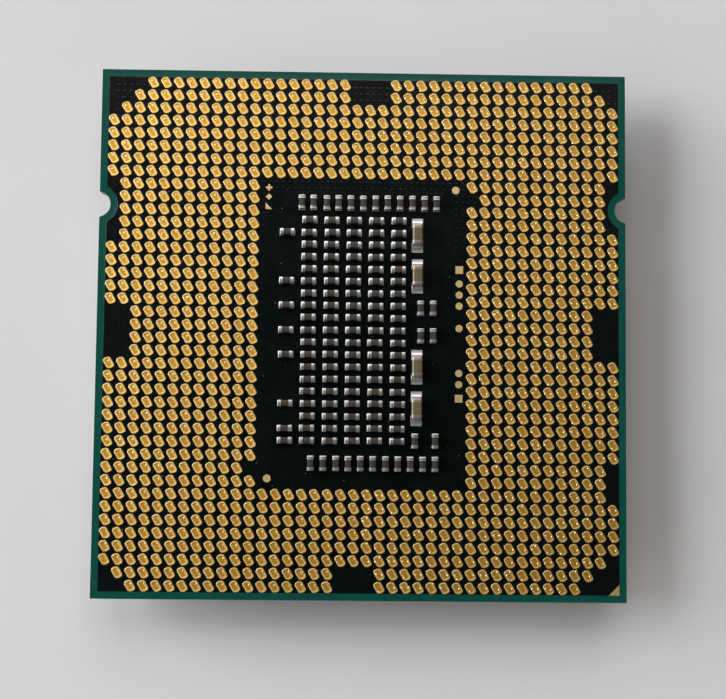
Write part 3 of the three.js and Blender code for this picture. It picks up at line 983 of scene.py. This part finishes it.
for node_name in sorted(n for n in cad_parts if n.startswith("capacitor_")):
    if node_name in RUNS:
        places, along = run_places(node_name, RUNS[node_name])
    else:
        places, along = single_place(node_name)
    capacitor_piece(node_name, places, along, *(LARGE_KIND if "large" in node_name else SMALL_KIND))

# %% [markdown]
# ## What the varnish covers
#
# Copper under the mask shows as low relief. Inside the window a large plane ends in a straight
# edge just short of the lands, and filled holes, tented by the mask, stand up as tiny domes along
# the window's border and in the open keys and corners.

# %% Window plane and tented holes
DOME_RADIUS = 0.11
DOME_HEIGHT = 0.006
WINDOW_LOW = (-7.0, -10.1)
WINDOW_HIGH = (6.35, 10.1)
WINDOW_RISE = 0.004
WINDOW_ROUNDING, WINDOW_STEPS, WINDOW_BEVEL = 0.3, 8, 0.06
HOLE_FREE_WINDOW = 6.6, 10.2
DOME_SIDES = 8
DOME_CLIMB = np.radians([0, 35, 70])


def covered_piece(name, points, faces, smooth_under=35.0):
    """A raised part of the mask over copper, dark all over."""
    attributes = {"over_copper": np.ones(len(points))}
    piece = mesh_object(name, points, faces, [mask_finish], smooth_under, attributes)
    return ride_as(piece, "dark_solder_mask")


def window_plane():
    """A thin plate with softened edges in the window, standing a few micrometres proud."""
    low, high = np.array(WINDOW_LOW), np.array(WINDOW_HIGH)
    outline, normals = rectangle(*(high - low), WINDOW_ROUNDING, WINDOW_STEPS)
    outline = outline + (low + high) / 2
    top = LAND_FACE + WINDOW_RISE
    profile = [
        (0.0, LAND_FACE - 2 * SUNK), (0.0, LAND_FACE + SUNK), (WINDOW_BEVEL, top), (2 * WINDOW_BEVEL, top)]
    return covered_piece("window_plane", *stacked(terrace((outline, normals), profile)))


def dome_template():
    """A low dome: circles whose radius follows a cosine while the height follows a sine."""
    around = circle(DOME_SIDES)
    return stacked([
        lifted(DOME_RADIUS * np.cos(a) * around, DOME_HEIGHT * np.sin(a)) for a in DOME_CLIMB])


def hole_places():
    """Twice as fine a grid as the lands', kept on open sites, but in the window only its border."""
    places = grid_places(np.kron(~filled_sites, np.ones((2, 2), bool)), PITCH / 2)
    inside = (np.abs(places) < HOLE_FREE_WINDOW).all(1)
    on_board = (np.abs(places) < PACKAGE_HALF - RIM - 2 * DOME_RADIUS).all(1)
    near_notch = np.hypot(np.abs(places[:, 0]) - PACKAGE_HALF - NOTCH_OUTSET, places[:, 1] - NOTCH_Y)
    clear = near_notch > NOTCH_RADIUS + RIM + 2 * DOME_RADIUS
    return lifted(places[~inside & on_board & clear], LAND_FACE - SUNK)


window_plane()
covered_piece("tented_holes", *stamp(dome_template(), hole_places()), 60.0)

# %% [markdown]
# ## The lid
#
# The heat spreader is pressed from copper: a square plateau, a lower flange with a load ledge on
# two sides, and a cavity for the die. Seen from its middle, every one of these outlines is crossed
# once by any ray, so each is a distance as a function of the ray's angle. The whole lid is then
# one grid: the angle runs one way, and the profile, from the plateau round the flange and into the
# cavity, runs the other. Rounded edges are quarter circles in that profile.


# %% Ray distances
def rectangle_ray(angle, half_x, half_y, radius):
    """Distance from the middle to a rounded rectangle's edge along each ray.
    A ray meets a straight side at the smaller of half_x / |cos| and half_y / |sin|. Where that
    point lies past the corner arc's centre both ways, the ray meets the arc instead, which
    solves a quadratic."""
    c, s = np.abs(np.cos(angle)) + 1e-9, np.abs(np.sin(angle)) + 1e-9
    side = np.minimum(half_x / c, half_y / s)
    centre_x, centre_y = half_x - radius, half_y - radius
    at_corner = (side * c > centre_x) & (side * s > centre_y)
    along = c * centre_x + s * centre_y
    inside = along ** 2 - (centre_x ** 2 + centre_y ** 2 - radius ** 2)
    return np.where(at_corner, along + np.sqrt(np.maximum(inside, 0)), side)


PLATEAU_HALF, PLATEAU_RADIUS = 14.3, 1.6
FLANGE_HALF, FLANGE_RADIUS = 15.5, 1.3
LEDGE_HALF, LEDGE_DEPTH, LEDGE_RADIUS = 17.0, 11.2, 1.0
CAVITY_HALF, CAVITY_RADIUS = 12.5, 3.0
LID_ANGLES = np.linspace(0, 2 * np.pi, 720, endpoint=False)
LEDGE_HEIGHT, CEILING_HEIGHT = 1.1, 2.01
PLATEAU_ROUNDING, PLATEAU_FOOT, LEDGE_ROUNDING, FOOT_BREAK = 0.3, 0.35, 0.22, 0.08
BLEND_POWER = 40


def square_ray(half, radius):
    """A function of the inset that gives the ray distances of a rounded square set in by it."""
    return lambda inset: rectangle_ray(LID_ANGLES, half - inset, half - inset, radius - inset)


plateau_ray = square_ray(PLATEAU_HALF, PLATEAU_RADIUS)
cavity_ray = square_ray(CAVITY_HALF, CAVITY_RADIUS)


def flange_ray(inset):
    """The larger of the flange's and the ledges' distances, blended so that they join in a curve:
    with n the power, the nth root of the sum of their nth powers."""
    flange = square_ray(FLANGE_HALF, FLANGE_RADIUS)(inset)
    ledge = rectangle_ray(LID_ANGLES, LEDGE_HALF - inset, LEDGE_DEPTH - inset, LEDGE_RADIUS - inset)
    return (flange ** BLEND_POWER + ledge ** BLEND_POWER) ** (1 / BLEND_POWER)


# %% Lid surface
def quarter(steps, start, end):
    """Sine and cosine of an angle that runs evenly over part of a quarter turn, as pairs."""
    angle = np.radians(np.linspace(start, end, steps))
    return list(zip(np.sin(angle), np.cos(angle)))


def lid_profile():
    """Rings as (ray function, inset, height, is a rounded edge), from plateau to cavity ceiling."""
    bottom, top = rests_between("heat_spreader")
    rounding, foot, edge = PLATEAU_ROUNDING, PLATEAU_FOOT, LEDGE_ROUNDING
    rings = [(plateau_ray, 4 * rounding, bottom, 0)]
    rings += [(plateau_ray, rounding * (1 - s), bottom + rounding * (1 - c), 1)
              for s, c in quarter(6, 0, 90)]
    rings += [(plateau_ray, -foot * (1 - c), LEDGE_HEIGHT - foot * (1 - s), 0)
              for s, c in quarter(5, 10, 90)]
    rings += [(flange_ray, edge * (1 - s), LEDGE_HEIGHT + edge * (1 - c), 1)
              for s, c in quarter(6, 0, 90)]
    rings += [(flange_ray, 0.0, top - FOOT_BREAK, 0), (flange_ray, FOOT_BREAK, top, 1)]
    rings += [(cavity_ray, -FOOT_BREAK, top, 1), (cavity_ray, 0.0, top - FOOT_BREAK, 0)]
    rings += [(cavity_ray, 0.0, CEILING_HEIGHT + rounding, 0), (cavity_ray, rounding, CEILING_HEIGHT, 0)]
    return rings


def lid():
    """Every profile ring is its ray distances times the directions of the rays."""
    rings, flags = [], []
    around = np.column_stack([np.cos(LID_ANGLES), np.sin(LID_ANGLES)])
    for ray, inset, height, rounded in lid_profile():
        rings.append(lifted(around * ray(inset)[:, None], height))
        flags.append(np.full(len(around), rounded))
    points, faces = stacked(rings)
    attributes = {"rounded_edge": np.concatenate(flags)}
    piece = mesh_object("nickel_lid", points, faces, [nickel_finish], 40.0, attributes)
    return ride_as(piece, "nickel_plate", "heat_spreader")


lid()

# %% [markdown]
# ## The adhesive bead
#
# A line of black silicone holds the lid down. Squeezed between two faces, it bulges a little to
# both sides, and a gap is left in it so that the cavity can breathe. Its path follows the flange's
# ray distance, and its section is a flat oval.


# %% Bead
VENT_HALF_WIDTH = 0.8
BEAD_OUTER_INSET, BEAD_INNER_OUTSET = 0.45, 0.5
BEAD_SIDES = 16
SIDE_POWER, FACE_POWER = 0.3, 0.5


def adhesive_bead():
    """An oval section carried along the flange's outline, from one side of the vent to the other.
    Each section point moves out by a cosine and up by a sine, squared off by powers below 1."""
    bottom, top = rests_between("spreader_adhesive")
    vent_half = math.asin(VENT_HALF_WIDTH / FLANGE_HALF)
    keep = np.abs(np.angle(np.exp(1j * (LID_ANGLES - np.pi / 2)))) > vent_half
    order = np.argsort((LID_ANGLES[keep] - np.pi / 2) % (2 * np.pi))
    angles = LID_ANGLES[keep][order]
    outer = flange_ray(BEAD_OUTER_INSET)[keep][order]
    inner = cavity_ray(-BEAD_INNER_OUTSET)[keep][order]
    middle, half = (outer + inner) / 2, (outer - inner) / 2
    cosine, sine = circle(BEAD_SIDES).T
    wide = np.sign(cosine) * np.abs(cosine) ** SIDE_POWER
    tall = np.sign(sine) * np.abs(sine) ** FACE_POWER
    distance = middle[:, None] + half[:, None] * wide
    x = distance * np.cos(angles)[:, None]
    y = distance * np.sin(angles)[:, None]
    z = (bottom + top) / 2 + (top - bottom) / 2 * np.broadcast_to(tall, x.shape)
    points = np.stack([x, y, z], axis=-1).reshape(-1, 3)
    faces = [table[:, ::-1] for table in (ring_faces(*x.shape), caps(*x.shape))]
    piece = mesh_object("adhesive_bead", points, faces, [silicone_finish], 50.0)
    return ride_as(piece, "black_silicone", "spreader_adhesive")


adhesive_bead()

# %% [markdown]
# ## CAD parts that stay
#
# The die, its solder and the underfill are sealed inside and have the right shape already, and so
# have the flat gold marks. They only need their finish, which goes into their material slots.

# %% Finish the CAD nodes that stay
KEPT = {
    "silicon_die": silicon_finish,
    "underfill": underfill_finish,
    "thermal_solder": solder_finish,
    "solder_bumps": solder_finish,
}
FLAT_MARKS = "test_pad", "fiducial", "etched", "pin_one"
for name, cad_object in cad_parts.items():
    finish = KEPT.get(name, mark_gold if name.startswith(FLAT_MARKS) else None)
    if finish is not None:
        cad_object.data.materials.clear()
        cad_object.data.materials.append(finish)
        print("kept from CAD:", name, "in", finish.name)

# %% [markdown]
# ## Table, light and camera
#
# The processor lies on plain white paper. Soft daylight comes from the upper left, so the sides
# and ends that face left are bright and the shadow falls to the right and below. The camera looks
# almost straight down from 85 mm above the lands.


# %% Floor
FLOOR_HALF = 400.0
paper = cloudy_finish(
    "white_paper", (0.72, 0.72, 0.74, 1), (0.75, 0.75, 0.77, 1), 60.0, (900.0, 0.75, 0.9), IOR=1.3)
floor_corners = np.array([[-1, -1, 0], [1, -1, 0], [1, 1, 0], [-1, 1, 0]]) * FLOOR_HALF
floor = mesh_object("floor", floor_corners, [np.array([[0, 1, 2, 3]])], [paper])


# %% Lights
def area_light(name, place, size, power, colour):
    """A square light that faces the middle of the processor, with its place and size in metres."""
    data = bpy.data.lights.new(name, "AREA")
    data.size = size
    data.energy = power
    data.color = colour
    light = bpy.data.objects.new(name, data)
    light.location = place
    light.rotation_euler = (-Vector(place)).to_track_quat("-Z", "Y").to_euler()
    bpy.context.scene.collection.objects.link(light)
    return light


def from_sky(azimuth, elevation):
    """A place seen from the middle at a compass angle from +X and a height angle, both in degrees."""
    a, e = math.radians(azimuth), math.radians(elevation)
    flat = LIGHT_DISTANCE * math.cos(e)
    return flat * math.cos(a), flat * math.sin(a), LIGHT_DISTANCE * math.sin(e)


LIGHT_DISTANCE = 0.9
area_light("window_light", from_sky(162, 27), 0.64, 9.05, (0.98, 1.0, 1.03))
area_light("ceiling_glow", from_sky(90, 46), 0.64, 2.7, (1.0, 0.98, 0.95))
area_light("far_wall", from_sky(208, 26), 0.58, 1.4, (1.0, 0.97, 0.93))


# %% Room light
def room_light():
    """A pale backdrop to the camera, and to everything else a sky that is dark straight above,
    where the camera hangs, and brighter towards the horizon, above all towards the window."""
    world = bpy.data.worlds.new("room")
    world.use_nodes = True
    tree = world.node_tree
    tree.nodes.clear()
    where = node(tree, "ShaderNodeTexCoord")
    way = node(tree, "ShaderNodeSeparateXYZ", {"Vector": where.outputs["Generated"]})
    horizon = remap(tree, way.outputs["Z"], 0.45, 0.90, 0.34, 0.07)
    overhead = remap(tree, way.outputs["Z"], 0.970, 0.996, 1.0, 0.0)
    window_side = remap(tree, way.outputs["X"], -1.0, 1.0, 1.6, 0.5)
    far_side = remap(tree, way.outputs["Y"], -0.8, 1.0, 0.4, 1.3)
    by_height = combine(tree, "MULTIPLY", horizon, overhead)
    by_side = combine(tree, "MULTIPLY", window_side, far_side)
    strength = combine(tree, "MULTIPLY", by_height, by_side)
    sky = node(tree, "ShaderNodeBackground", {"Color": (1.0, 0.91, 0.81, 1), "Strength": strength})
    backdrop = node(tree, "ShaderNodeBackground", {"Color": (0.66, 0.66, 0.67, 1), "Strength": 1.0})
    path = node(tree, "ShaderNodeLightPath")
    either = node(tree, "ShaderNodeMixShader", {
        0: path.outputs["Is Camera Ray"], 1: sky.outputs[0], 2: backdrop.outputs[0]})
    out = node(tree, "ShaderNodeOutputWorld")
    tree.links.new(either.outputs[0], out.inputs["Surface"])
    return world


bpy.context.scene.world = room_light()
bpy.context.scene.view_settings.view_transform = "Standard"

# %% Camera
camera_data = bpy.data.cameras.new("camera")
camera_data.sensor_width = 36.0
camera_data.lens = 59.5
camera_data.clip_start = 0.005
camera_data.clip_end = 10.0
camera = bpy.data.objects.new("camera", camera_data)
camera.location = (-1.244 * MM, -6.614 * MM, 89.067 * MM)
camera.rotation_euler = [math.radians(a) for a in (3.676, -0.936, 0.605)]
bpy.context.scene.collection.objects.link(camera)
bpy.context.scene.camera = camera
